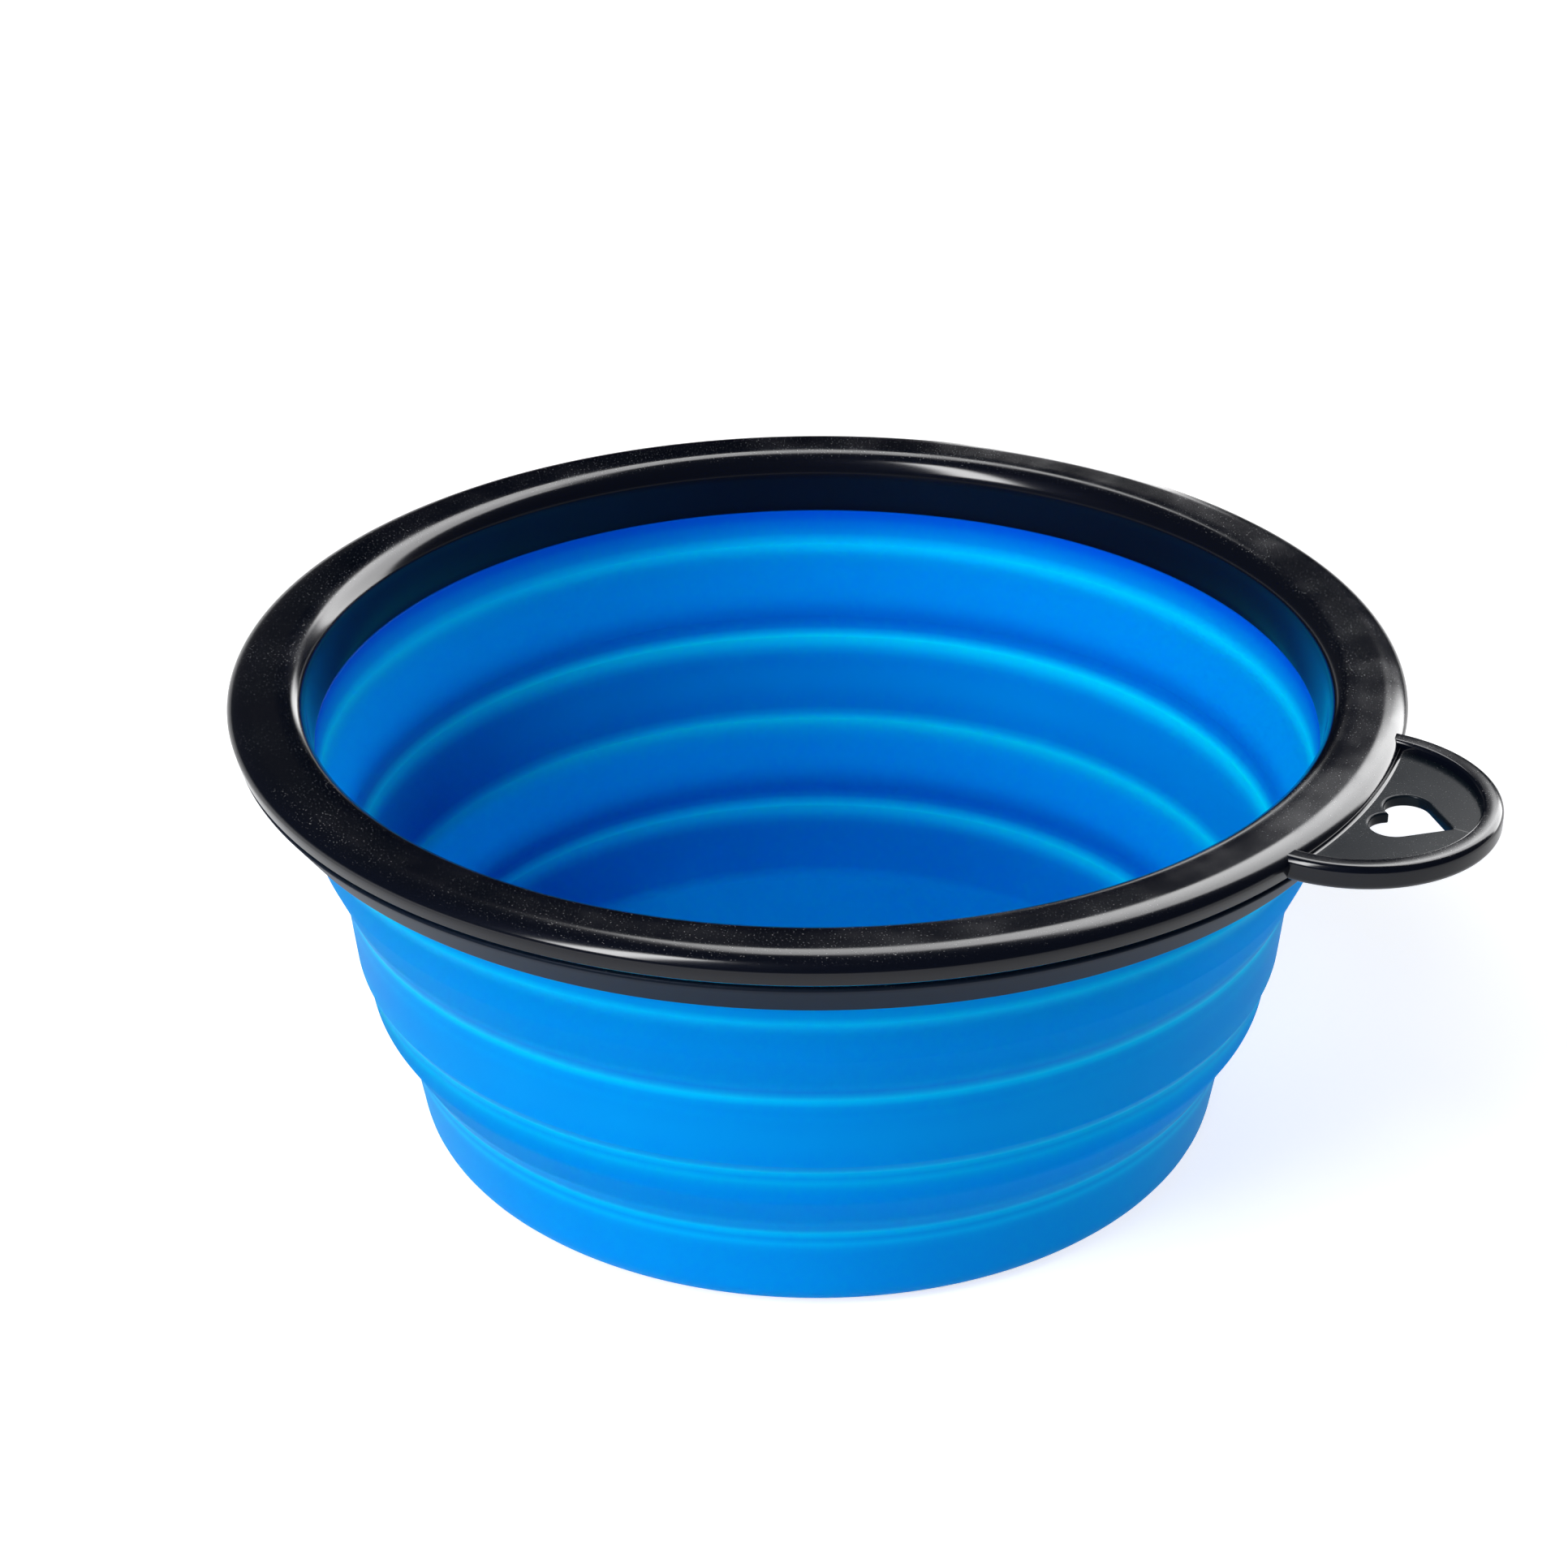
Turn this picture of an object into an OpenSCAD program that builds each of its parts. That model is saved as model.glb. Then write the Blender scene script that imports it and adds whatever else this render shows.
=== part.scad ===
// Collapsible travel bowl for pets, standing open.
// A soft cup in three stages hangs from a hard two-part rim with a hanging tab.
// The origin is the centre of the underside, +Z is up and the tab points along +X.
// All lengths are in millimetres and all angles in degrees.

/* [Rim ring] */
// Outside diameter of the rim
rim_d = 130; // [120:1:150]
// Width of the rim, from the mouth to the outside
rim_w = 8.1; // [7.7:0.05:8.9]
// Height of the rim ring above the clamped flange
rim_h = 2.9; // [2.7:0.1:4]
// Width of the rounded shoulder at the outside of the top
shoulder_w = 2.3; // [1:0.1:2.5]
// Height of the rounded shoulder
shoulder_h = 1.6; // [1:0.1:1.8]
// How far the outside draws in below its widest line
under_draw = 0.3; // [0.1:0.05:0.6]
// Rounding at the mouth's edge
mouth_round = 3; // [1:0.1:3.2]
// Thickness of the skirt inside the mouth
skirt_t = 1.2; // [1:0.05:1.3]
// How far the skirt leans in towards its lower edge
skirt_lean = 1.1; // [0.8:0.05:1.5]
// How far the skirt's foot stays above the clamp ring's foot
foot_lift = 0.5; // [0.2:0.1:1]

/* [Clamp ring] */
// Height of the clamp ring
clamp_h = 4.2; // [3:0.1:6]
// How far the outside of the clamp ring leans in
clamp_lean = 3.1; // [1.5:0.1:3.4]
// Rounding of the clamp ring's lower outer edge
clamp_round = 0.4; // [0.1:0.05:0.6]
// Number of weld pegs that join the two rings
peg_count = 12; // [6:1:18]
// Diameter of a weld peg
peg_d = 1.6; // [1.2:0.1:1.8]
// How far a peg reaches into the rim ring
peg_reach = 1.4; // [0.8:0.1:1.6]
// How deep a peg is rooted in the clamp ring
peg_root = 1.5; // [0.5:0.1:2.5]
// How far the peg circle lies inside the rim's outside
peg_inset = 3.8; // [3.7:0.05:4]

/* [Hanging tab] */
// Radius of the tab's round outline
tab_r = 15.6; // [14:0.1:18]
// How far the tab reaches beyond the rim
tab_reach = 13.9; // [12:0.1:15]
// Thickness of the tab's plate
plate_t = 1.3; // [1:0.1:1.5]
// Width of the raised bead around the tab
bead_w = 2.2; // [1.6:0.1:2.6]
// How far the bead's top stands above the plate
bead_rise = 1.1; // [0.5:0.1:1.4]
// Height of the bead
bead_h = 2.7; // [2.5:0.1:3]
// Rounding of the bead's edges
bead_round = 0.8; // [0.3:0.05:0.8]
// Length of the heart-shaped hole, from lobes to point
heart_l = 8.1; // [6:0.1:8.6]
// Radius of a lobe of the heart
lobe_r = 2.45; // [1.8:0.05:2.5]
// Distance of a lobe's centre from the tab's middle line
lobe_side = 2.1; // [1.5:0.05:2.3]
// Distance from the rim's outside to the lobes
heart_inset = 1.3; // [1:0.1:2]

/* [Cup: flange and collar] */
// Thickness of the flange between the two rings
flange_t = 0.5; // [0.3:0.05:0.8]
// Height of the anchor ridge on the flange
ridge_h = 0.8; // [0.4:0.1:1]
// Width of the anchor ridge
ridge_w = 1.2; // [0.8:0.1:1.3]
// How far the anchor ridge's middle lies inside the rim's outside
ridge_inset = 1.9; // [1.85:0.05:2]
// Thickness of the neck between skirt and clamp ring
neck_t = 1.4; // [1.2:0.05:1.6]
// Height of the collar below the clamp ring
collar_h = 3.9; // [2.5:0.1:6]
// How far the collar draws in towards its lower edge, outside
collar_draw = 0.5; // [0.2:0.05:1]
// Wall of the collar at its lower edge
collar_t = 2.5; // [2:0.05:2.7]

/* [Cup: upper fold] */
// Height of the upper folding web
upper_h = 11.8; // [9:0.1:14]
// How far the upper web leads in, outside
upper_run = 4.3; // [4.1:0.05:5.5]
// Height from the web's top down to its knuckle
upper_knuckle_h = 5.4; // [3:0.1:7]
// How far the knuckle lies inside the web's top
upper_knuckle_in = 1.5; // [0.8:0.05:2]

/* [Cup: middle band] */
// Height of the middle band
band_h = 10; // [8:0.1:12]
// How far the band draws in towards its lower edge, outside
band_draw = 0.9; // [0.3:0.05:1.1]
// Depth of the small step at the band's foot
step_d = 0.8; // [0.4:0.05:1]
// Height of that small step
step_h = 1.3; // [0.8:0.1:2]

/* [Cup: lower fold] */
// Height of the lower folding web
lower_h = 10.7; // [9:0.1:13]
// How far the lower web leads in, outside
lower_run = 4.4; // [4.2:0.05:5.5]
// Height from the web's top down to its knuckle
lower_knuckle_h = 4.2; // [3:0.1:6]
// How far the knuckle lies inside the web's top
lower_knuckle_in = 0.6; // [0.3:0.05:1.2]

/* [Cup: base] */
// Height of the base's outer wall
base_h = 11; // [10:0.1:16]
// How far the base draws in towards the bottom, outside
base_draw = 1.8; // [1:0.05:3]
// Rounding around the underside
base_round = 3.5; // [1:0.1:4]
// Thickness of the floor
floor_t = 1.6; // [1.4:0.1:3]
// Rounding where the floor meets the wall
floor_round = 1.5; // [1:0.1:2.5]

/* [Cup: wall] */
// Wall of the bands and the base
wall_t = 1.5; // [1.2:0.05:1.8]
// Height of the lip above each fold's thin line
lip_h = 2.4; // [1.5:0.1:3]
// How far the wall steps back above each lip
lip_back = 1; // [0.6:0.05:1.2]
// How far each inner lip lies above or below the outer corner
lip_shift = 0.4; // [0:0.05:0.6]
// Rounding of the ridges
ridge_round = 0.7; // [0.2:0.05:1]

/* [Hidden] */

// Fits
grip_gap = 0.1;
peg_gap = 0.12;
tab_gap = 0.03;
cut_over = 1;
// How far a band reaches past its corners before the thin web begins
seam_h = 1;

// Facet counts and steps of the rounded corners
ring_fn = 180;
peg_fn = 32;
corner_steps = 5;
shoulder_steps = 8;
lobe_steps = 20;

// Heights of the stack, from the underside up
lower_z = base_h;
band_z = lower_z + lower_h;
upper_z = band_z + band_h;
collar_z = upper_z + upper_h;
clamp_z = collar_z + collar_h;
flange_z = clamp_z + clamp_h;
ring_z = flange_z + flange_t;
top_z = ring_z + rim_h;
widest_z = top_z - shoulder_h;
foot_z = clamp_z + foot_lift;

// Radii of the rings, from the outside in
rim_r = rim_d / 2;
flange_r = rim_r - under_draw;
mouth_r = rim_r - rim_w;
skirt_foot_r = mouth_r - skirt_lean;
skirt_slope = skirt_lean / (top_z - foot_z);
skirt_outer_r = skirt_foot_r + skirt_t;
neck_inner_r = skirt_outer_r + grip_gap;
neck_outer_r = neck_inner_r + neck_t;
neck_rise = skirt_slope * clamp_h;
ring_rise = skirt_slope * (ring_z - foot_z);
clamp_inner_r = neck_outer_r + grip_gap;
clamp_foot_r = flange_r - clamp_lean;
peg_r = rim_r - peg_inset;
ridge_r = rim_r - ridge_inset;

// Radii of the cup's outside
collar_r = neck_outer_r - collar_draw;
upper_knuckle_r = collar_r - upper_knuckle_in;
band_top_r = collar_r - upper_run;
band_foot_r = band_top_r - band_draw;
lower_top_r = band_foot_r - step_d;
lower_knuckle_r = lower_top_r - lower_knuckle_in;
base_top_r = lower_top_r - lower_run;
base_foot_r = base_top_r - base_draw;

// Radii of the cup's inside
collar_in_r = collar_r - collar_t;
band_lip_r = band_top_r - wall_t;
band_low_r = lower_top_r - wall_t;
base_lip_r = base_top_r - wall_t;
base_slope = base_draw / base_h;
floor_r = base_foot_r + base_slope * floor_t - wall_t;

// The tab: its plate lies level with the rim's widest line
tab_x = rim_r + tab_reach - tab_r;
plate_top_z = widest_z;
bead_top_z = plate_top_z + bead_rise;
lobe_x = rim_r + heart_inset + lobe_r;
point_x = rim_r + heart_inset + heart_l;

// Corner c rounded with radius r, between the points b and d
function unit(v) = v / norm(v);
function corner(b, c, d, r) =
    let(
        u = unit(b - c),
        v = unit(d - c),
        half = acos(u * v) / 2,
        room = min(norm(b - c), norm(d - c)) / 2,
        reach = min(r / tan(half), room),
        centre = c + unit(u + v) * reach / cos(half),
        start = c + u * reach - centre,
        finish = c + v * reach - centre,
        a = atan2(start[1], start[0]),
        turn = atan2(finish[1], finish[0]) - a,
        sweep = turn > 180 ? turn - 360 : turn < -180 ? turn + 360 : turn
    )
    [for (k = [0 : corner_steps])
        centre + norm(start) * [cos(a + sweep * k / corner_steps), sin(a + sweep * k / corner_steps)]];

// An outline of [r, z, rounding] points with its corners rounded
function place(p) = [p[0], p[1]];
function rounded(points) =
    let(n = len(points))
    [for (k = [0 : n - 1])
        each points[k][2] > 0
            ? corner(place(points[(k + n - 1) % n]), place(points[k]), place(points[(k + 1) % n]), points[k][2])
            : [place(points[k])]];

// The whole soft cup in section, from the underside up the outside and down the inside
cup_points = [
    [0, 0, 0],
    [base_foot_r, 0, base_round],
    [base_top_r, lower_z, ridge_round],
    [lower_knuckle_r, band_z - lower_knuckle_h, ridge_round],
    [lower_top_r, band_z, ridge_round / 2],
    [band_foot_r, band_z + step_h, ridge_round],
    [band_top_r, upper_z, ridge_round],
    [upper_knuckle_r, collar_z - upper_knuckle_h, ridge_round],
    [collar_r, collar_z, ridge_round],
    [neck_outer_r, clamp_z, 0],
    [neck_outer_r + neck_rise, flange_z, 0],
    [flange_r, flange_z, 0],
    [flange_r, ring_z, 0],
    [ridge_r + ridge_w / 2, ring_z, 0],
    [ridge_r + ridge_w / 2, ring_z + ridge_h, 0],
    [ridge_r - ridge_w / 2, ring_z + ridge_h, 0],
    [ridge_r - ridge_w / 2, ring_z, 0],
    [neck_inner_r + ring_rise, ring_z, 0],
    [neck_inner_r, foot_z, 0],
    [skirt_foot_r, foot_z, 0],
    [collar_in_r, collar_z, ridge_round],
    [band_lip_r + lip_back, upper_z + lip_shift + lip_h, ridge_round],
    [band_lip_r, upper_z + lip_shift, ridge_round],
    [band_low_r, band_z - lip_shift, ridge_round],
    [base_lip_r + lip_back, lower_z + lip_h, ridge_round],
    [base_lip_r, lower_z, ridge_round],
    [floor_r, floor_t, floor_round],
    [0, floor_t, 0]
];

// One stage of the cup: the part of it that lies between two levels
module cup_stage(low, high) {
    rotate_extrude($fn = ring_fn)
        intersection() {
            polygon(rounded(cup_points));
            translate([0, low])
                square([rim_r, high - low]);
        }
}

// The rim ring in section, with its shoulder as a quarter of an ellipse
shoulder = [for (k = [0 : shoulder_steps])
    [rim_r - shoulder_w + shoulder_w * cos(90 * k / shoulder_steps),
     widest_z + shoulder_h * sin(90 * k / shoulder_steps), 0]];
rim_points = concat(
    [[neck_inner_r + ring_rise - grip_gap, ring_z, 0],
     [flange_r, ring_z, 0]],
    shoulder,
    [[mouth_r, top_z, mouth_round],
     [skirt_foot_r, foot_z, 0],
     [skirt_outer_r, foot_z, 0]]
);

// Everything from the axis out to the rim's outside, which the tab is cut back to
module rim_envelope() {
    rotate_extrude($fn = ring_fn)
        polygon(concat(
            [[0, flange_z - cut_over],
             [flange_r + tab_gap, flange_z - cut_over],
             [flange_r + tab_gap, ring_z]],
            [for (p = shoulder) [p[0] + tab_gap, p[1]]],
            [[rim_r - shoulder_w + tab_gap, top_z + cut_over],
             [0, top_z + cut_over]]
        ));
}

module peg_circle(d, low, high) {
    for (k = [0 : peg_count - 1])
        rotate([0, 0, 360 * (k + 1 / 2) / peg_count])
            translate([peg_r, 0, low])
                cylinder(h = high - low, d = d, $fn = peg_fn);
}

module ring_slot(inner, outer, low, high) {
    difference() {
        translate([0, 0, low])
            cylinder(h = high - low, r = outer, $fn = ring_fn);
        translate([0, 0, low - cut_over])
            cylinder(h = high - low + 2 * cut_over, r = inner, $fn = ring_fn);
    }
}

// Hard upper ring: top face, shoulder and skirt, with the anchor groove and the peg sockets below
module rim_ring() {
    color([0.06, 0.07, 0.09])
        difference() {
            rotate_extrude($fn = ring_fn)
                polygon(rounded(rim_points));
            ring_slot(ridge_r - ridge_w / 2 - grip_gap, ridge_r + ridge_w / 2 + grip_gap,
                      ring_z - cut_over, ring_z + ridge_h + grip_gap);
            peg_circle(peg_d + 2 * peg_gap, ring_z - cut_over, ring_z + peg_reach + peg_gap);
        }
}

// Section of the bead, with rounded edges
module bead_section() {
    low_z = bead_top_z - bead_h;
    polygon(rounded([
        [tab_r - bead_w, low_z, bead_round / 2],
        [tab_r, low_z, bead_round],
        [tab_r, bead_top_z, bead_round],
        [tab_r - bead_w, bead_top_z, bead_round / 2]
    ]));
}

// One half of the heart: from where its straight side touches the lobe, round to the cleft
touch = acos(lobe_r / norm([point_x - lobe_x, lobe_side])) - atan2(lobe_side, point_x - lobe_x);
cleft = 180 + asin(lobe_side / lobe_r);
lobe_points = [for (k = [0 : lobe_steps])
    let(a = touch + (cleft - touch) * k / lobe_steps)
    [lobe_x + lobe_r * cos(a), lobe_side + lobe_r * sin(a)]];

// Outline of the heart, with its point away from the bowl
module heart_outline() {
    polygon(concat(
        [[point_x, 0]],
        lobe_points,
        [for (k = [lobe_steps - 1 : -1 : 0]) [lobe_points[k][0], -lobe_points[k][1]]]
    ));
}

// Tab with its sunk plate, raised bead and heart-shaped hole, ending on the rim's outside
module hanging_tab() {
    color([0.08, 0.09, 0.11])
        difference() {
            union() {
                translate([tab_x, 0, 0])
                    rotate_extrude($fn = ring_fn)
                        bead_section();
                translate([tab_x, 0, plate_top_z - plate_t])
                    cylinder(h = plate_t, r = tab_r - bead_w / 2, $fn = ring_fn);
            }
            rim_envelope();
            translate([0, 0, plate_top_z - plate_t - cut_over])
                linear_extrude(plate_t + 2 * cut_over)
                    heart_outline();
        }
}

// Hard lower ring, welded to the rim ring by pegs through the flange
module clamp_ring() {
    color([0.13, 0.15, 0.18]) {
        rotate_extrude($fn = ring_fn)
            polygon(rounded([
                [clamp_inner_r, clamp_z, 0],
                [clamp_foot_r, clamp_z, clamp_round],
                [flange_r, flange_z, 0],
                [clamp_inner_r + neck_rise, flange_z, 0]
            ]));
        peg_circle(peg_d, flange_z - peg_root, ring_z + peg_reach);
    }
}

// Soft flange with its anchor ridge, held between the two rings
module anchor_flange() {
    color([0, 0.53, 0.9])
        difference() {
            cup_stage(clamp_z, ring_z + ridge_h);
            peg_circle(peg_d + 2 * peg_gap, flange_z - cut_over, ring_z + cut_over);
        }
}

module collar() {
    color([0, 0.53, 0.9]) cup_stage(collar_z - seam_h, clamp_z);
}

module upper_fold_web() {
    color([0, 0.5, 0.87]) cup_stage(upper_z + seam_h + lip_shift, collar_z - seam_h);
}

module middle_band() {
    color([0, 0.53, 0.9]) cup_stage(band_z - seam_h - lip_shift, upper_z + seam_h + lip_shift);
}

module lower_fold_web() {
    color([0, 0.5, 0.87]) cup_stage(lower_z + seam_h, band_z - seam_h - lip_shift);
}

module base_cup() {
    color([0, 0.53, 0.9]) cup_stage(0, lower_z + seam_h);
}

rim_ring();
hanging_tab();
clamp_ring();
anchor_flange();
collar();
upper_fold_web();
middle_band();
lower_fold_web();
base_cup();
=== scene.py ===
import math

import bmesh
import bpy
import numpy as np
from mathutils import Matrix, Vector
from mathutils.geometry import tessellate_polygon

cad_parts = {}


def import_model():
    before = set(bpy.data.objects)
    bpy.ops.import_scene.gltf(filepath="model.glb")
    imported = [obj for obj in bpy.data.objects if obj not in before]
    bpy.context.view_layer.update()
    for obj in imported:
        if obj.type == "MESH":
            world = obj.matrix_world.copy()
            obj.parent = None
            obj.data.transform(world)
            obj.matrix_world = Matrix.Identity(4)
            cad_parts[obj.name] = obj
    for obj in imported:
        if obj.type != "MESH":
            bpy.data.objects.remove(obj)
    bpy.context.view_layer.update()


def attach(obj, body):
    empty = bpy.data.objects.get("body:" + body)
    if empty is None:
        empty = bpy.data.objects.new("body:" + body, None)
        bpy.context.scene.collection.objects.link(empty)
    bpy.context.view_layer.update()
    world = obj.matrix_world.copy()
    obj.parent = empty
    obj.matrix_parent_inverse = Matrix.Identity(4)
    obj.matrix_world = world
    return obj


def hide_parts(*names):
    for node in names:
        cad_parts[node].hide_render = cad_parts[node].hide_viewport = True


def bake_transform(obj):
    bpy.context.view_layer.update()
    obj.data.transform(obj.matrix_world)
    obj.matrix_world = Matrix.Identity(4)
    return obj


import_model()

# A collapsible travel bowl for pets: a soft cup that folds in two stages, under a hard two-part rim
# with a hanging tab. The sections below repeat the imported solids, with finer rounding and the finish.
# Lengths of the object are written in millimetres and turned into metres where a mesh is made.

MM = 0.001

# Rim ring
rim_r = 65.0
mouth_r = 56.9
top_z = 55.0
ring_z = 52.1
shoulder_w = 2.8
shoulder_h = 1.6
under_draw = 0.3
mouth_round = 3.0
ring_edge_round = 0.15
shoulder_steps = 24
skirt_foot_r = 55.8
skirt_t = 1.2
skirt_round = 0.2
foot_z = 47.9

# Clamp ring
clamp_z = 47.4
flange_z = 51.6
clamp_lean = 3.1
clamp_round = 0.4
clamp_top_round = 0.25
clamp_inner_r = 58.6

# Hanging tab
tab_r = 15.6
tab_reach = 13.9
plate_t = 1.3
plate_sink = 0.2
plate_arc_steps = 96
plate_rim_steps = 48
bead_w = 2.2
bead_rise = 1.1
bead_h = 2.7
bead_round = 0.8
bead_sink = 0.15
bead_steps = 140
heart_l = 8.1
lobe_r = 2.45
lobe_side = 2.1
heart_inset = 1.3
heart_round = 0.25
heart_steps = 28
hole_round_steps = 4
flat_margin = 0.1
fillet = 0.35
fillet_sink = 0.3
fillet_round_steps = 6
fillet_arc_steps = 80
weld_w = 0.16
weld_wobble = 1.2

# Cup: heights and radii of the outside
collar_z, collar_r = 43.5, 58.0
upper_knuckle_z, upper_knuckle_r = 38.1, 56.5
upper_z, band_top_r = 31.7, 53.7
band_foot_z, band_foot_r = 23.0, 52.8
band_z, lower_top_r = 21.7, 52.0
lower_knuckle_z, lower_knuckle_r = 17.5, 51.4
lower_z, base_top_r = 11.0, 47.6
base_foot_r, base_round = 45.8, 3.5

# Cup: heights and radii of the inside
collar_in_r = 55.5
upper_lip_z, upper_lip_r = 32.1, 52.2
band_low_z, band_low_r = 21.3, 50.5
lower_lip_z, lower_lip_r = 11.0, 46.1
lip_h, lip_back = 2.4, 1.0
floor_z, floor_r, floor_round = 1.6, 44.56, 1.5
neck_t, grip_gap = 1.4, 0.1
ridge_round = 0.7
knuckle_round = 3.0
flange_inset = 0.75
flange_round = 0.05

# The level at which the soft cup's two meshes meet, and how far from it the light's way through
# the silicone starts and is full
seam_z = 26.5
seam_fade = (0.3, 3.2)

# Fineness of the meshes, the share of a side that a rounding may take up, and the angles in
# degrees from which edges stay crisp
around = 300
corner_steps = 8
corner_room = 0.45
longest_step = 0.8
crisp_soft = 40
crisp_ring = 35
crisp_tab = 40
crisp_fillet = 50

flange_r = rim_r - under_draw
widest_z = top_z - shoulder_h
skirt_slope = (mouth_r - skirt_foot_r) / (top_z - foot_z)
neck_inner_r = skirt_foot_r + skirt_t + grip_gap
neck_outer_r = neck_inner_r + neck_t
ring_rise = skirt_slope * (ring_z - foot_z)
neck_rise = skirt_slope * (flange_z - clamp_z)
tab_x = rim_r + tab_reach - tab_r
plate_z = widest_z


# Outlines

def unit(v):
    return v / np.linalg.norm(v)


def corner(before, point, after, radius):
    """The points of a rounded corner."""
    u, v = unit(before - point), unit(after - point)
    half = math.acos(float(np.clip(u @ v, -1, 1))) / 2
    room = corner_room * min(np.linalg.norm(before - point), np.linalg.norm(after - point))
    reach = min(radius / math.tan(half), room)
    centre = point + unit(u + v) * reach / math.cos(half)
    start, finish = point + u * reach - centre, point + v * reach - centre
    first = math.atan2(start[1], start[0])
    sweep = (math.atan2(finish[1], finish[0]) - first + math.pi) % (2 * math.pi) - math.pi
    turns = [first + sweep * k / corner_steps for k in range(corner_steps + 1)]
    return [centre + np.linalg.norm(start) * np.array([math.cos(t), math.sin(t)]) for t in turns]


def outline(rows):
    """A closed outline from rows of (r, z, rounding), with its long stretches divided."""
    points = [np.array(row[:2], float) for row in rows]
    round_points = []
    for k, row in enumerate(rows):
        if row[2] > 0:
            round_points += corner(points[k - 1], points[k], points[(k + 1) % len(rows)], row[2])
        else:
            round_points.append(points[k])
    fine = []
    for a, b in zip(round_points, round_points[1:] + round_points[:1]):
        parts = max(1, math.ceil(np.linalg.norm(b - a) / longest_step))
        fine += [a + (b - a) * k / parts for k in range(parts)]
    return fine


def cut_level(points, level):
    """Splits a closed outline at a level that it crosses twice, into the part below and the part above."""
    below, above = [], []
    for a, b in zip(points, points[1:] + points[:1]):
        (below if a[1] <= level else above).append(a)
        if (a[1] - level) * (b[1] - level) < 0:
            crossing = a + (b - a) * (level - a[1]) / (b[1] - a[1])
            below.append(crossing)
            above.append(crossing)
    return below, above


# Meshes

def new_object(name, verts, faces, material):
    mesh = bpy.data.meshes.new(name)
    mesh.from_pydata([tuple(v) for v in verts], [], faces)
    mesh.validate()
    mesh.polygons.foreach_set("use_smooth", [True] * len(mesh.polygons))
    mesh.materials.append(material)
    obj = bpy.data.objects.new(name, mesh)
    bpy.context.scene.collection.objects.link(obj)
    return obj


def lathe(name, points, material):
    """A closed solid of revolution from a closed outline of (r, z), in millimetres."""
    rings, verts = [], []
    for r, z in points:
        count = 1 if r < 1e-6 else around
        rings.append([len(verts) + k for k in range(count)])
        for k in range(count):
            a = 2 * math.pi * k / around
            verts.append((r * math.cos(a) * MM, r * math.sin(a) * MM, z * MM))
    faces = []
    for low, high in zip(rings, rings[1:] + rings[:1]):
        if len(low) == 1 and len(high) == 1:
            continue
        for k in range(around):
            n = (k + 1) % around
            if len(low) == 1:
                faces.append((low[0], high[n], high[k]))
            elif len(high) == 1:
                faces.append((low[k], low[n], high[0]))
            else:
                faces.append((low[k], low[n], high[n], high[k]))
    return new_object(name, verts, faces, material)


def sharpen(obj, degrees):
    """Edges sharper than this angle stay crisp."""
    bpy.context.view_layer.objects.active = obj
    for other in bpy.context.selected_objects:
        other.select_set(False)
    obj.select_set(True)
    bpy.ops.object.shade_smooth_by_angle(angle=math.radians(degrees))


# Materials

def node(tree, kind, inputs=None, **settings):
    made = tree.nodes.new(kind)
    for key, value in settings.items():
        setattr(made, key, value)
    for key, value in (inputs or {}).items():
        if isinstance(value, bpy.types.NodeSocket):
            tree.links.new(value, made.inputs[key])
        else:
            made.inputs[key].default_value = value
    return made


def maths(tree, operation, a, b=0.0):
    return node(tree, "ShaderNodeMath", {0: a, 1: b}, operation=operation).outputs[0]


def mapped(tree, value, low, high, to_low=0.0, to_high=1.0):
    ends = {0: value, 1: low, 2: high, 3: to_low, 4: to_high}
    return node(tree, "ShaderNodeMapRange", ends, interpolation_type="SMOOTHSTEP").outputs[0]


def mixed(tree, factor, a, b):
    """Two colours mixed by a factor."""
    return node(tree, "ShaderNodeMix", {0: factor, 6: a, 7: b}, data_type="RGBA").outputs[2]


def attribute(tree, name):
    return node(tree, "ShaderNodeAttribute", attribute_name=name).outputs["Fac"]


def part_of(tree, vector, axis):
    return node(tree, "ShaderNodeSeparateXYZ", {0: vector}).outputs[axis]


def bumpy(tree, shader, grain, strength, depth):
    bump = node(tree, "ShaderNodeBump", {"Strength": strength, "Distance": depth, "Height": grain})
    tree.links.new(bump.outputs[0], shader.inputs["Normal"])


def noise(tree, coords, scale, detail=2.0, roughness=0.5):
    return node(tree, "ShaderNodeTexNoise", {"Vector": coords, "Scale": scale, "Detail": detail,
                                             "Roughness": roughness}).outputs[0]


def material(name):
    made = bpy.data.materials.new(name)
    made.use_nodes = True
    tree = made.node_tree
    shader = tree.nodes["Principled BSDF"]
    coords = tree.nodes.new("ShaderNodeTexCoord").outputs["Object"]
    return made, tree, shader, coords


# Noises: (scale, detail, roughness), and the ranges in which those of the dust fade in
cloud_noise = (60, 2)
satin_noise = (5000, 2)
weld_noise = (300, 2)
patch_noise, patch_range = (45, 3, 0.6), (0.3, 0.62)
speck_noise, speck_range = (5200, 1, 0.5), (0.66, 0.78)
film_noise, film_range = (90, 3, 0.6), (0.35, 0.8)
mould_noise = (900, 3)
floor_noise = (40, 2)

# The silicone's blues, linear: the stiff bands wander between the first two
band_blues = ((0.0, 0.242, 0.71, 1), (0.0, 0.257, 0.725, 1))
# Painted light: the webs' lighter blue stands in for light that comes through them
web_painted_light_blue = (0.0, 0.36, 0.89, 1)
# Painted shade: the darker blue of the hollow places
shade_blue = (0.0, 0.07, 0.6, 1)
# Painted glow: the lighter blue painted along the ridges and lips in place of light
painted_glow_blue = (0.0, 0.66, 1.0, 1)
through_blue = (0.0, 0.58, 1.0, 1)

# Shares of the light that pass through the webs and travel inside the silicone, and its roughness
through_share = 0.48
inner_share = 0.85
satin_roughness = (0.46, 0.54)

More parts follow.
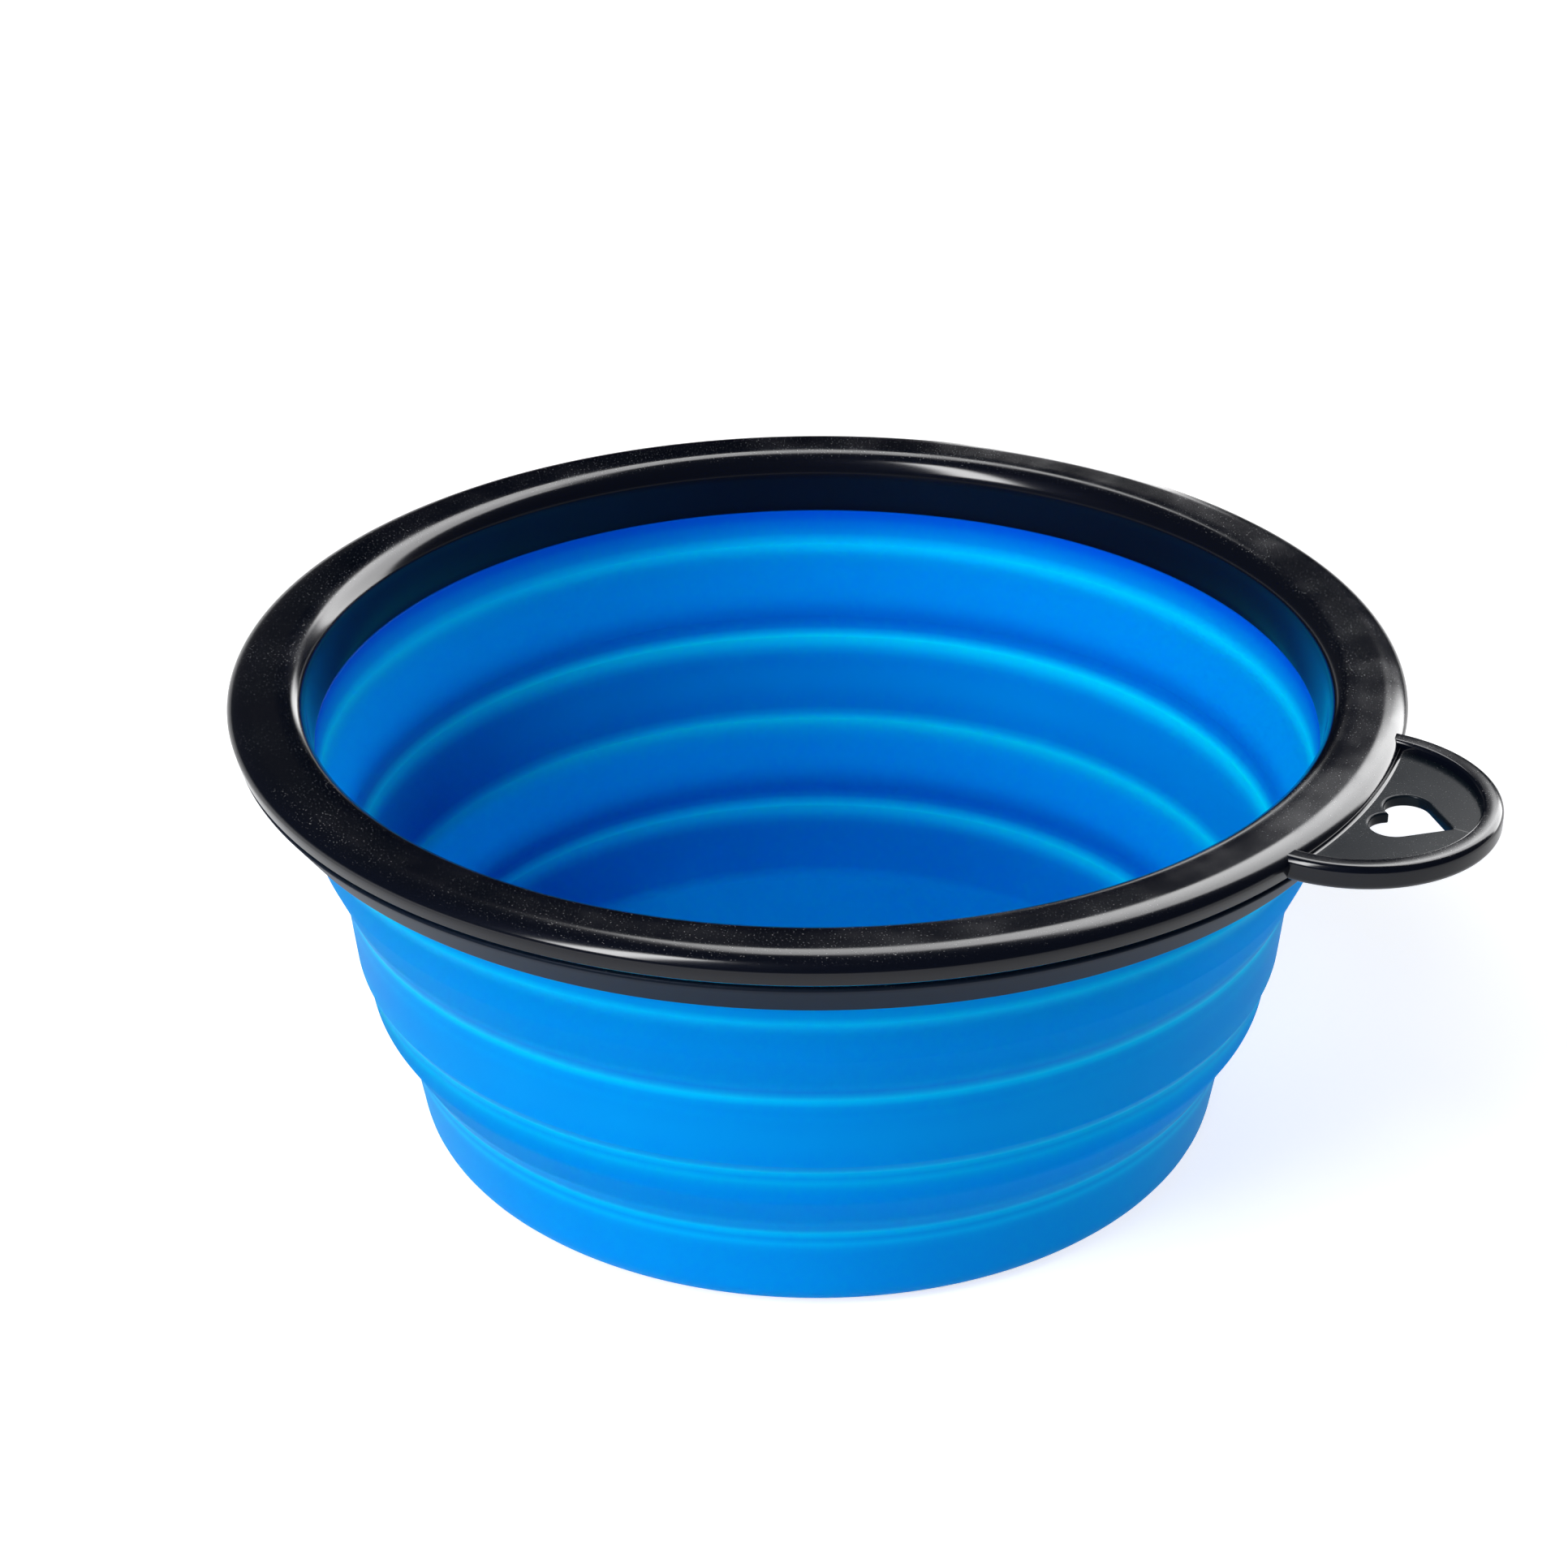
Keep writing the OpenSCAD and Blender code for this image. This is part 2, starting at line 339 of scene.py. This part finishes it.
# Values that are the same all over the silicone
silicone_settings = {
    "Specular IOR Level": 0.03,
    "Specular Tint": (0.0, 0.35, 1.0, 1),
    "Sheen Weight": 0.06,
    "Sheen Roughness": 0.2,
    "Sheen Tint": (0.05, 0.7, 1.0, 1),
    "Subsurface Radius": (0.1, 0.5, 1.0),
    "Subsurface Scale": 0.0007,
}


def silicone():
    """Satin blue silicone. Attributes of the mesh say where it has a painted glow and painted shade, where
    its webs are thin and take painted light, and where it is whole.
    """
    made, tree, shader, coords = material("blue_silicone")
    cloud = noise(tree, coords, *cloud_noise)
    body = mixed(tree, mapped(tree, cloud, 0.3, 0.7), *band_blues)
    thin = attribute(tree, "thin")
    # Painted light: the webs get a lighter blue
    web_painted_light = mixed(tree, thin, body, web_painted_light_blue)
    # Painted shade in the hollows
    shaded = mixed(tree, attribute(tree, "shade"), web_painted_light, shade_blue)
    # Painted glow along the ridges and lips
    lit = mixed(tree, attribute(tree, "painted_glow"), shaded, painted_glow_blue)
    tree.links.new(lit, shader.inputs["Base Color"])
    bumpy(tree, shader, noise(tree, coords, *satin_noise), 0.05, 0.00003)
    tree.links.new(mapped(tree, cloud, 0.2, 0.8, *satin_roughness), shader.inputs["Roughness"])
    for key, value in silicone_settings.items():
        shader.inputs[key].default_value = value
    inner = maths(tree, "MULTIPLY", attribute(tree, "whole"), inner_share)
    tree.links.new(inner, shader.inputs["Subsurface Weight"])
    through = node(tree, "ShaderNodeBsdfTranslucent", {"Color": through_blue})
    share = maths(tree, "MULTIPLY", thin, through_share)
    both = node(tree, "ShaderNodeMixShader", {0: share, 1: shader.outputs[0], 2: through.outputs[0]})
    tree.links.new(both.outputs[0], tree.nodes["Material Output"].inputs["Surface"])
    return made


def weld_line(tree, coords):
    """The faint line where the melt met again beyond the heart's point, along the X axis."""
    tip = rim_r + heart_inset + heart_l
    swing = maths(tree, "SUBTRACT", noise(tree, coords, *weld_noise), 0.5)
    wobble = maths(tree, "MULTIPLY", swing, weld_wobble * MM)
    aside = maths(tree, "ABSOLUTE", maths(tree, "ADD", part_of(tree, coords, 1), wobble))
    beyond = mapped(tree, part_of(tree, coords, 0), tip * MM, (tip + weld_w) * MM)
    return maths(tree, "MULTIPLY", mapped(tree, aside, weld_w / 2 * MM, weld_w * MM, 1.0, 0.0), beyond)


# Dust on the plastic: how level a surface must lie for it to stay, how much lighter and rougher
# it makes the surface, and the weld line's share
lying_range = (0.7, 0.97)
dust_lift = 0.22
dust_roughness = 0.12
weld_level = 0.5


def plastic(name, colour, roughness, gloss, dust_amount, welded=False):
    """Black moulded plastic with dust in patches, specks and a dull film where it faces upward."""
    made, tree, shader, coords = material(name)
    up = part_of(tree, node(tree, "ShaderNodeNewGeometry").outputs["Normal"], 2)
    lying = mapped(tree, up, *lying_range)
    patches = mapped(tree, noise(tree, coords, *patch_noise), *patch_range)
    specks = mapped(tree, noise(tree, coords, *speck_noise), *speck_range)
    dust = maths(tree, "MULTIPLY", maths(tree, "MULTIPLY", patches, specks), lying)
    film = mapped(tree, noise(tree, coords, *film_noise), *film_range)
    dusty = maths(tree, "MULTIPLY", dust, dust_amount)
    if welded:
        weld = maths(tree, "MULTIPLY", weld_line(tree, coords), weld_level)
        dusty = maths(tree, "MAXIMUM", dusty, weld)
    grey = tuple(c + dust_lift for c in colour[:3]) + (1,)
    tree.links.new(mixed(tree, dusty, colour, grey), shader.inputs["Base Color"])
    filmed = maths(tree, "ADD", maths(tree, "MULTIPLY", film, lying), dust)
    dull = maths(tree, "MULTIPLY", filmed, dust_roughness * dust_amount)
    tree.links.new(maths(tree, "ADD", dull, roughness), shader.inputs["Roughness"])
    bumpy(tree, shader, noise(tree, coords, *mould_noise), 0.04, 0.00002)
    shader.inputs["Specular IOR Level"].default_value = gloss
    return made


silicone_look = silicone()
rim_look = plastic("black_plastic", (0.002, 0.003, 0.007, 1),
                   roughness=0.14, gloss=0.3, dust_amount=1.0)
clamp_look = plastic("black_plastic_clamp", (0.003, 0.006, 0.013, 1),
                     roughness=0.4, gloss=0.05, dust_amount=0.35)
plate_look = plastic("black_plastic_plate", (0.004, 0.007, 0.011, 1),
                     roughness=0.24, gloss=0.08, dust_amount=0.55, welded=True)


# The soft cup: one section, made as two meshes that meet in the middle band

cup_rows = [
    (0, 0, 0),
    (base_foot_r, 0, base_round),
    (base_top_r, lower_z, ridge_round),
    (lower_knuckle_r, lower_knuckle_z, knuckle_round),
    (lower_top_r, band_z, ridge_round / 2),
    (band_foot_r, band_foot_z, ridge_round),
    (band_top_r, upper_z, ridge_round),
    (upper_knuckle_r, upper_knuckle_z, knuckle_round),
    (collar_r, collar_z, ridge_round),
    (neck_outer_r, clamp_z, 0),
    (neck_outer_r + neck_rise, flange_z, 0),
    (flange_r - flange_inset, flange_z, flange_round),
    (flange_r - flange_inset, ring_z, flange_round),
    (neck_inner_r + ring_rise, ring_z, 0),
    (neck_inner_r, foot_z, 0),
    (skirt_foot_r, foot_z, skirt_round),
    (collar_in_r, collar_z, ridge_round),
    (upper_lip_r + lip_back, upper_lip_z + lip_h, ridge_round),
    (upper_lip_r, upper_lip_z, ridge_round),
    (band_low_r, band_low_z, ridge_round),
    (lower_lip_r + lip_back, lower_lip_z + lip_h, ridge_round),
    (lower_lip_r, lower_lip_z, ridge_round),
    (floor_r, floor_z, floor_round),
    (0, floor_z, 0),
]

# Painted glow: a lighter base colour along the ridges and lips stands in for the light there: (r, z, reach
# above, reach below, strength)
painted_glow_lines = [
    (collar_r, collar_z, 0.6, 0.7, 0.4),
    (band_top_r, upper_z, 0.7, 0.6, 0.5),
    (lower_top_r, band_z, 0.5, 0.6, 0.45),
    (base_top_r, lower_z, 0.6, 0.6, 0.45),
    (collar_in_r, collar_z, 1.0, 1.4, 0.7),
    (upper_lip_r, upper_lip_z, 0.7, 1.5, 1.0),
    (band_low_r, band_low_z, 0.8, 1.5, 1.0),
    (lower_lip_r, lower_lip_z, 0.8, 1.4, 1.0),
]

# Painted shade: the base colour is darker in hollow places, the dip above each lip and the silicone below
# the skirt
dip_h = 2.6
shade_lines = [
    (upper_lip_r + lip_back, upper_lip_z + dip_h, 1.6, 1.6, 0.6),
    (lower_lip_r + lip_back, lower_lip_z + dip_h, 1.6, 1.6, 0.6),
    (skirt_foot_r, foot_z, 1.0, 1.8, 0.9),
]

# How far a line reaches across the wall, the heights between which each web is thin, and how
# soft the ends of those spans are
line_depth = 1.3
web_spans = ((12.2, 21.7), (33.0, 43.5))
web_fade = 2


def fade(value, start, end):
    """A smooth step from nought at the start to one at the end."""
    t = min(1.0, max(0.0, (value - start) / (end - start)))
    return t * t * (3 - 2 * t)


def add_values(obj, name, value_at):
    """A named value at each vertex, from its radius and height in millimetres."""
    values = [value_at(math.hypot(v.co.x, v.co.y) / MM, v.co.z / MM) for v in obj.data.vertices]
    layer = obj.data.attributes.new(name, "FLOAT", "POINT")
    layer.data.foreach_set("value", values)


def along_lines(lines):
    """A value that peaks along level lines and fades above and below them."""
    def value_at(r, z):
        best = 0.0
        for line_r, line_z, above, below, strength in lines:
            if abs(r - line_r) < line_depth:
                reach = above if z > line_z else below
                best = max(best, strength * math.exp(-((z - line_z) / reach) ** 2))
        return best
    return value_at


def thin_at(r, z):
    """One in the folding webs and nought in the stiff bands. It sets the share of real light through the
    webs, and their lighter base colour, which is painted light.
    """
    return max(fade(z, low, low + web_fade) * fade(z, high, high - web_fade) for low, high in web_spans)


def whole_at(r, z):
    """Nought at the seam, as no light passes inside from mesh to mesh there, and one away from it."""
    return fade(abs(z - seam_z), *seam_fade)


def soft_cup():
    low_points, high_points = cut_level(outline(cup_rows), seam_z)
    lower = lathe("cup_lower_stage", low_points, silicone_look)
    upper = lathe("cup_upper_stage", high_points, silicone_look)
    for cup in (lower, upper):
        # Painted glow, painted shade and the webs that take painted light are stored at the vertices
        add_values(cup, "painted_glow", along_lines(painted_glow_lines))
        add_values(cup, "shade", along_lines(shade_lines))
        add_values(cup, "thin", thin_at)
        add_values(cup, "whole", whole_at)
        sharpen(cup, crisp_soft)
    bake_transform(lower)
    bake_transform(upper)
    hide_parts("base_cup", "lower_fold_web")
    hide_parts("middle_band", "upper_fold_web", "collar", "anchor_flange")


# The two rings

def quarter(centre_r, centre_z, width, height, steps):
    """Rows along a quarter of an ellipse, from its outermost point to its top."""
    turns = [math.radians(90 * k / steps) for k in range(steps + 1)]
    return [(centre_r + width * math.cos(t), centre_z + height * math.sin(t), 0) for t in turns]


def rim():
    shoulder = quarter(rim_r - shoulder_w, widest_z, shoulder_w, shoulder_h, shoulder_steps)
    rows = [
        (neck_inner_r + ring_rise - grip_gap, ring_z, 0),
        (flange_r, ring_z, ring_edge_round),
        *shoulder,
        (mouth_r, top_z, mouth_round),
        (skirt_foot_r, foot_z, skirt_round),
        (skirt_foot_r + skirt_t, foot_z, skirt_round),
    ]
    obj = lathe("rim_top_ring", outline(rows), rim_look)
    sharpen(obj, crisp_ring)
    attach(obj, "rim")
    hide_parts("rim_ring")


def clamp():
    rows = [
        (clamp_inner_r, clamp_z, 0),
        (flange_r - clamp_lean, clamp_z, clamp_round),
        (flange_r, flange_z, clamp_top_round),
        (clamp_inner_r + neck_rise, flange_z, 0),
    ]
    obj = lathe("rim_clamp_ring", outline(rows), clamp_look)
    sharpen(obj, crisp_ring)
    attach(obj, "rim")
    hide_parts("clamp_ring")


# The hanging tab: bead, sunk plate and the fillet where the plate meets the rim

def swept(name, section, centre, spans, material_used, steps):
    """A closed section of (offset, z) carried along an arc about a centre on the X axis.
    spans gives, for each point of the section, the half angle at which it ends."""
    verts, faces = [], []
    count = len(section)
    for k in range(steps + 1):
        for (radius, z), span in zip(section, spans):
            a = -span + 2 * span * k / steps
            verts.append(((centre + radius * math.cos(a)) * MM, radius * math.sin(a) * MM, z * MM))
    for k in range(steps):
        for j in range(count):
            n = (j + 1) % count
            faces.append((k * count + j, k * count + n, (k + 1) * count + n, (k + 1) * count + j))
    faces.append(tuple(range(count - 1, -1, -1)))
    faces.append(tuple(range(steps * count, (steps + 1) * count)))
    return new_object(name, verts, faces, material_used)


def rim_side_r(z):
    """The rim's outside radius at a height."""
    if z >= top_z:
        return rim_r - shoulder_w
    if z >= widest_z:
        return rim_r - shoulder_w + shoulder_w * math.sqrt(1 - ((z - widest_z) / shoulder_h) ** 2)
    return flange_r + (rim_r - flange_r) * max(0.0, (z - ring_z) / (widest_z - ring_z))


def span_to_rim(centre, radius, reach_r):
    """The half angle, about a centre on the X axis, at which the circle of this radius meets the
    circle of radius reach_r about the bowl's axis."""
    return math.acos((reach_r ** 2 - centre ** 2 - radius ** 2) / (2 * centre * radius))


def bead():
    low_z = plate_z + bead_rise - bead_h
    high_z = plate_z + bead_rise
    section = outline([
        (tab_r - bead_w, low_z, bead_round / 2),
        (tab_r, low_z, bead_round),
        (tab_r, high_z, bead_round),
        (tab_r - bead_w, high_z, bead_round / 2),
    ])
    spans = [span_to_rim(tab_x, r, rim_side_r(z) - bead_sink) for r, z in section]
    obj = swept("tab_bead", section, tab_x, spans, rim_look, bead_steps)
    sharpen(obj, crisp_tab)
    return obj


def heart(grow):
    """The heart's outline, with its point away from the bowl, grown outward by an amount."""
    lobe_x = rim_r + heart_inset + lobe_r
    point_x = rim_r + heart_inset + heart_l
    along = point_x - lobe_x
    touch = math.acos(lobe_r / math.hypot(along, lobe_side)) - math.atan2(lobe_side, along)
    reach = lobe_r + grow
    cleft = math.pi + math.asin(lobe_side / reach)
    lobe = []
    for k in range(heart_steps + 1):
        a = touch + (cleft - touch) * k / heart_steps
        lobe.append((lobe_x + reach * math.cos(a), lobe_side + reach * math.sin(a)))
    tip = (point_x + grow / math.sin(math.pi / 2 - touch), 0.0)
    return [tip] + lobe + [(x, -y) for x, y in reversed(lobe[:-1])]


def plate():
    """The sunk plate with its heart-shaped hole, rounded at both edges of the hole."""
    rim_edge = rim_side_r(plate_z) - plate_sink
    outer_r = tab_r - bead_w / 2
    side = span_to_rim(tab_x, outer_r, rim_edge)
    edge = []
    for k in range(plate_arc_steps + 1):
        a = -side + 2 * side * k / plate_arc_steps
        edge.append((tab_x + outer_r * math.cos(a), outer_r * math.sin(a)))
    turn = math.atan2(edge[-1][1], edge[-1][0])
    for k in range(1, plate_rim_steps):
        a = turn - 2 * turn * k / plate_rim_steps
        edge.append((rim_edge * math.cos(a), rim_edge * math.sin(a)))
    levels = [(plate_z, heart_round + flat_margin), (plate_z, heart_round)]
    for k in range(1, hole_round_steps + 1):
        a = math.radians(90 * k / hole_round_steps)
        levels.append((plate_z - heart_round * (1 - math.cos(a)), heart_round * (1 - math.sin(a))))
    levels += [(2 * plate_z - plate_t - z, grow) for z, grow in reversed(levels)]
    return plate_mesh(edge, [(z, heart(grow)) for z, grow in levels])


def plate_mesh(edge, hole_levels):
    """The plate from its edge and the hole's outlines, each with its height, from the top down."""
    bm = bmesh.new()

    def loop(points, z):
        return [bm.verts.new((x * MM, y * MM, z * MM)) for x, y in points]

    holes = [loop(points, z) for z, points in hole_levels]
    outers = [loop(edge, plate_z), loop(edge, plate_z - plate_t)]
    for upper, lower in list(zip(holes, holes[1:])) + [tuple(outers)]:
        for k in range(len(upper)):
            n = (k + 1) % len(upper)
            bm.faces.new((upper[k], upper[n], lower[n], lower[k]))
    for face, level in ((0, 0), (1, -1)):
        verts = outers[face] + holes[level]
        flat = [[Vector((x, y, 0)) for x, y in points] for points in (edge, hole_levels[level][1])]
        for triangle in tessellate_polygon(flat):
            bm.faces.new([verts[k] for k in triangle])
    bmesh.ops.recalc_face_normals(bm, faces=bm.faces)
    mesh = bpy.data.meshes.new("tab_plate")
    bm.to_mesh(mesh)
    bm.free()
    mesh.materials.append(plate_look)
    obj = bpy.data.objects.new("tab_plate", mesh)
    bpy.context.scene.collection.objects.link(obj)
    sharpen(obj, crisp_tab)
    return obj


def plate_fillet():
    """A small hollow fillet along the line where the plate meets the rim's side."""
    wall = rim_side_r(plate_z + fillet / 2)
    under_z = plate_z - fillet_sink
    section = [(wall - fillet_sink, under_z), (wall + fillet, under_z)]
    for k in range(fillet_round_steps + 1):
        a = math.radians(90 * k / fillet_round_steps)
        section.append((wall + fillet * (1 - math.sin(a)), plate_z + fillet * (1 - math.cos(a))))
    section.append((wall - fillet_sink, plate_z + fillet))
    reach = tab_r - bead_w / 2
    span = math.acos((wall ** 2 + tab_x ** 2 - reach ** 2) / (2 * wall * tab_x))
    obj = swept("tab_fillet", section, 0, [span] * len(section), rim_look, fillet_arc_steps)
    sharpen(obj, crisp_fillet)
    return obj


def tab():
    pieces = [bead(), plate(), plate_fillet()]
    for piece in pieces:
        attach(piece, "rim")
    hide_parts("hanging_tab")


# Studio

# The camera, fitted to the photo. Its aim is (right, up, height) in millimetres: how far to the
# right and upward in the picture it lies from the point of the bowl's axis at that height.
camera_azimuth = 30.0
camera_elevation = 28.43
camera_roll = -0.46
camera_distance = 394.4
camera_aim = (-3.70, -11.30, 51.9)
focal_pixels = 4361.9
image_pixels = 1932
sensor_mm = 36.0
nearest, farthest = 0.01, 50

# Lamps and screens, in metres: the height that each aims at or stands round, and its distance
lamp_aim_z, lamp_distance = 0.04, 1.0
screen_base_z, screen_distance = 0.05, 0.9
screen_cell = 2

# Soft boxes: (name, azimuth, elevation, (width, height), power)
lamps = [
    ("key_left", -62, 18, (0.6, 0.4), 6.0),
    ("key_high", -43, 56, (0.6, 0.6), 5.5),
    ("fill_right", 106, 12, (0.6, 0.2), 4.4),
    ("back", 180, 50, (0.6, 0.6), 1.7),
    ("front", 0, 15, (0.6, 0.3), 3.3),
]

# Levels of the white surroundings and of the floor, the heights between which the white that
# reflections show ends, the floor's own tones, and half its side in metres
haze_level = 0.05
white_end = (0.01, 0.1)
floor_seen, floor_reflected = 0.64, 0.5
floor_tones = ((0.78, 0.78, 0.78, 1), (0.8, 0.8, 0.8, 1))
floor_half = 4.0


def camera():
    e, roll = math.radians(camera_elevation), math.radians(camera_roll)
    right = Vector((1, 0, 0))
    forward = Vector((0, math.cos(e), -math.sin(e)))
    up = right.cross(forward)
    across, lift, base = camera_aim
    eye = right * across + up * lift - forward * camera_distance + Vector((0, 0, base))
    tilted = right * math.cos(roll) + up * math.sin(roll)
    raised = up * math.cos(roll) - right * math.sin(roll)
    axes = Matrix((tilted, raised, -forward)).transposed().to_4x4()
    data = bpy.data.cameras.new("camera")
    data.sensor_width = sensor_mm
    data.lens = focal_pixels * sensor_mm / image_pixels
    data.clip_start, data.clip_end = nearest, farthest
    obj = bpy.data.objects.new("camera", data)
    turn = Matrix.Rotation(math.radians(camera_azimuth), 4, "Z")
    obj.matrix_world = turn @ Matrix.Translation(eye * MM) @ axes
    bpy.context.scene.collection.objects.link(obj)
    bpy.context.scene.camera = obj


def direction(azimuth, elevation):
    """The unit vector towards a place in the studio, from degrees. Azimuths are counted from the
    camera to the right."""
    a, e = math.radians(azimuth + camera_azimuth), math.radians(elevation)
    return Vector((math.sin(a) * math.cos(e), -math.cos(a) * math.cos(e), math.sin(e)))


def lamp(name, azimuth, elevation, size, power):
    """A soft box aimed at the bowl, which lights it but doesn't show in its gloss."""
    target = Vector((0, 0, lamp_aim_z))
    place = target + lamp_distance * direction(azimuth, elevation)
    data = bpy.data.lights.new(name, "AREA")
    data.shape = "RECTANGLE"
    data.size, data.size_y = size
    data.energy = power
    obj = bpy.data.objects.new(name, data)
    obj.location = place
    obj.rotation_euler = (target - place).to_track_quat("-Z", "Y").to_euler()
    obj.visible_camera = False
    obj.visible_glossy = False
    bpy.context.scene.collection.objects.link(obj)


def screen(name, knots, strength, edge, distance=screen_distance):
    """A curved white screen that only glossy surfaces show, with soft edges.
    The knots are (azimuth, lowest elevation, highest elevation, level), in degrees, and edge is
    the width of the soft edge."""
    azimuths, lows, highs, powers = np.array(knots, float).T
    across, base, rise = azimuths[-1] - azimuths[0], lows.min(), highs.max() - lows.min()
    columns, rows = (max(4, math.ceil(span / screen_cell)) for span in (across, rise))
    verts, levels, faces = [], [], []
    for j in range(rows + 1):
        for i in range(columns + 1):
            azimuth = azimuths[0] + across * i / columns
            elevation = base + rise * j / rows
            verts.append(Vector((0, 0, screen_base_z)) + distance * direction(azimuth, elevation))
            low, high, power = (float(np.interp(azimuth, azimuths, row)) for row in (lows, highs, powers))
            side = min(i / columns, 1 - i / columns) * across
            inside = (side, elevation - low, high - elevation)
            levels.append(power * math.prod(fade(amount, 0, edge) for amount in inside))
    for j in range(rows):
        for i in range(columns):
            k = j * (columns + 1) + i
            faces.append((k, k + 1, k + columns + 2, k + columns + 1))
    made, tree, shader, _ = material("studio_" + name)
    shader.inputs["Base Color"].default_value = (0, 0, 0, 1)
    shader.inputs["Specular IOR Level"].default_value = 0.0
    shader.inputs["Emission Color"].default_value = (1, 1, 1, 1)
    shown = maths(tree, "MULTIPLY", attribute(tree, "level"), strength)
    tree.links.new(shown, shader.inputs["Emission Strength"])
    obj = new_object(name, verts, faces, made)
    layer = obj.data.attributes.new("level", "FLOAT", "POINT")
    layer.data.foreach_set("value", levels)
    for flag in ("visible_camera", "visible_diffuse", "visible_transmission", "visible_shadow"):
        setattr(obj, flag, False)


def world():
    """White to the camera. Glossy and transmission rays meet white only near the floor, and glossy
    ones a faint haze above it."""
    made = bpy.data.worlds.new("studio")
    bpy.context.scene.world = made
    made.use_nodes = True
    tree = made.node_tree
    back = tree.nodes["Background"]
    path = tree.nodes.new("ShaderNodeLightPath")
    height = part_of(tree, tree.nodes.new("ShaderNodeTexCoord").outputs["Generated"], 2)
    low = mapped(tree, height, *white_end, 1.0, 0.0)
    seen = maths(tree, "ADD", path.outputs["Is Glossy Ray"], path.outputs["Is Transmission Ray"])
    shown = maths(tree, "MAXIMUM", path.outputs["Is Camera Ray"], maths(tree, "MULTIPLY", seen, low))
    haze = maths(tree, "MULTIPLY", path.outputs["Is Glossy Ray"], haze_level)
    tree.links.new(maths(tree, "MAXIMUM", shown, haze), back.inputs["Strength"])
    back.inputs["Color"].default_value = (1, 1, 1, 1)


def floor():
    made, tree, shader, coords = material("studio_floor")
    path = tree.nodes.new("ShaderNodeLightPath")
    speckle = mixed(tree, noise(tree, coords, *floor_noise), *floor_tones)
    tree.links.new(speckle, shader.inputs["Base Color"])
    shader.inputs["Roughness"].default_value = 0.9
    shader.inputs["Specular IOR Level"].default_value = 0.0
    behind = maths(tree, "ADD", path.outputs["Is Glossy Ray"], path.outputs["Is Transmission Ray"])
    seen = maths(tree, "MULTIPLY", path.outputs["Is Camera Ray"], floor_seen)
    reflected = maths(tree, "MULTIPLY", behind, floor_reflected)
    tree.links.new(maths(tree, "ADD", seen, reflected), shader.inputs["Emission Strength"])
    shader.inputs["Emission Color"].default_value = (1, 1, 1, 1)
    corners = [(floor_half * x, floor_half * y, 0) for x, y in ((-1, -1), (1, -1), (1, 1), (-1, 1))]
    obj = new_object("floor", corners, [(0, 1, 2, 3)], made)


camera()
world()
floor()
for row in lamps:
    lamp(*row)
screen("screen_back", [(112, -3, 66, 0.85), (134, -3, 66, 0.9), (139, 4, 66, 0.95), (147, 18, 66, 1.0),
                       (152, 24, 66, 1.0), (160, 27, 66, 1.0), (165, 38, 67, 0.85), (180, 42, 68, 0.75),
                       (192, 42, 68, 0.75)], 11.0, 3)
screen("screen_low", [(164, -8, 17, 1.0), (175, -8, 17, 1.0)], 7.0, 3, 0.45)
screen("screen_front", [(-54, 20, 71, 1.0), (-30, 20, 71, 1.0)], 28.0, 7)
soft_cup()
rim()
clamp()
tab()

bpy.context.scene.view_settings.view_transform = "Standard"

bpy.context.view_layer.update()
